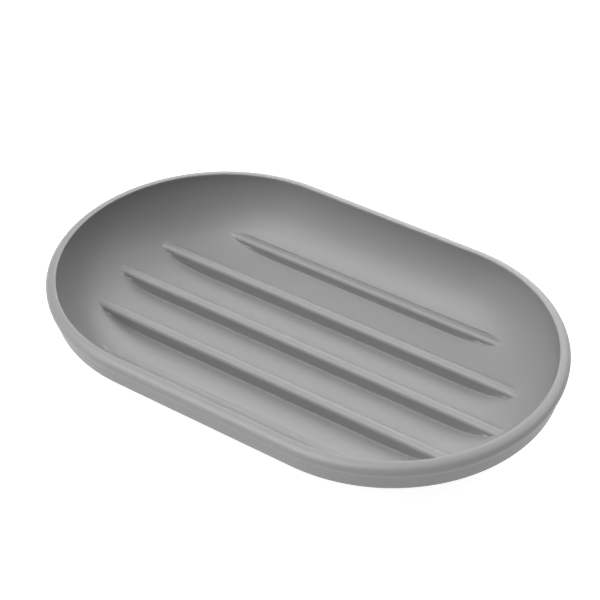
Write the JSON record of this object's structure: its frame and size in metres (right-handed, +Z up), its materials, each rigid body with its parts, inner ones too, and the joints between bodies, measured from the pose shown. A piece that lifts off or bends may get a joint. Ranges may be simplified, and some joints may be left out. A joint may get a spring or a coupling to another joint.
{
  "type": "soap dish",
  "caption": "Shallow stadium-shaped soap dish with a rolled lip, a ribbed bowl floor and non-slip pads under its flat base.",
  "frame": {"origin": "on the resting surface, under the middle of the dish", "axes": "+X along the long side and the ribs, +Y across the dish, +Z up out of the bowl"},
  "size_m": [0.14, 0.088, 0.02],
  "materials": {
    "dish_plastic": "fine soft matt, moulded through in neutral grey",
    "pad_rubber": "matt"
  },
  "bodies": {
    "root": {"dish_body": "dish_plastic", "foot_pad_left_front": "pad_rubber", "foot_pad_left_back": "pad_rubber", "foot_pad_right_front": "pad_rubber", "foot_pad_right_back": "pad_rubber"}
  },
  "joints": []
}
